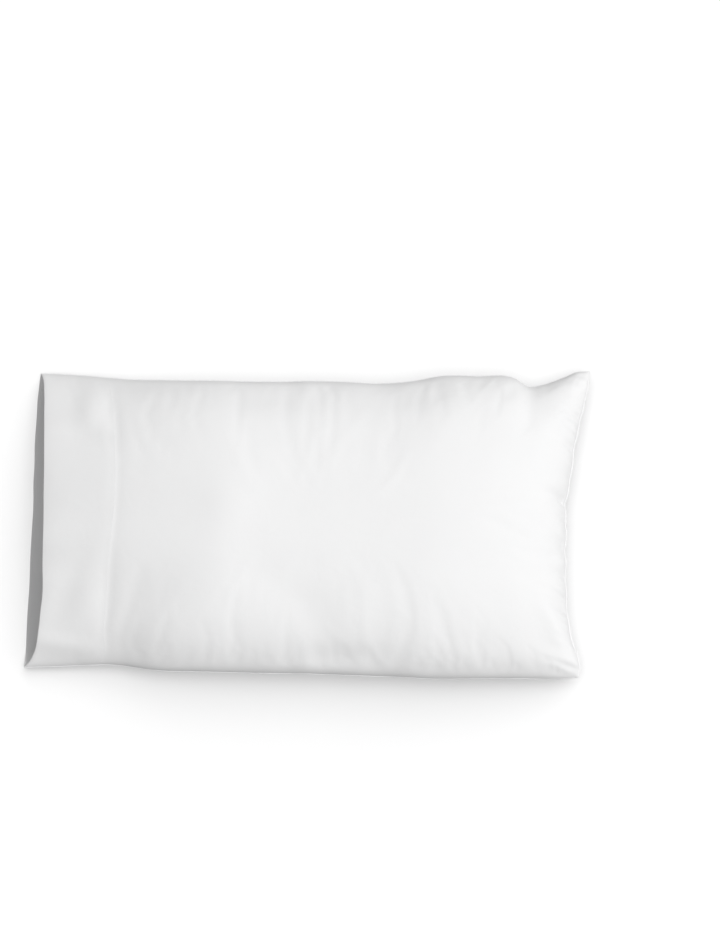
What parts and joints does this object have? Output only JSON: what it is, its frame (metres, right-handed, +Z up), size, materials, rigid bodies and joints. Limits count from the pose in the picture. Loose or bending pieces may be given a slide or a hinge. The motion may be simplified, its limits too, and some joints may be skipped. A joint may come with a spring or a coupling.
{
  "type": "pillowcase",
  "caption": "White cotton pillowcase with a wide hem and an open mouth, drawn over a full king-size pillow and lying on its back.",
  "frame": {"origin": "middle of the filled case's outline, on the surface that it lies on", "axes": "+X along the case from the open mouth to the sewn end, +Y across it to the side seam that is uppermost in the picture, +Z up out of its front"},
  "size_m": [0.938, 0.5194, 0.1543],
  "materials": {
    "cotton": "matt white cotton, fine plain weave"
  },
  "bodies": {
    "root": {"pillowcase": "cotton"}
  },
  "joints": []
}
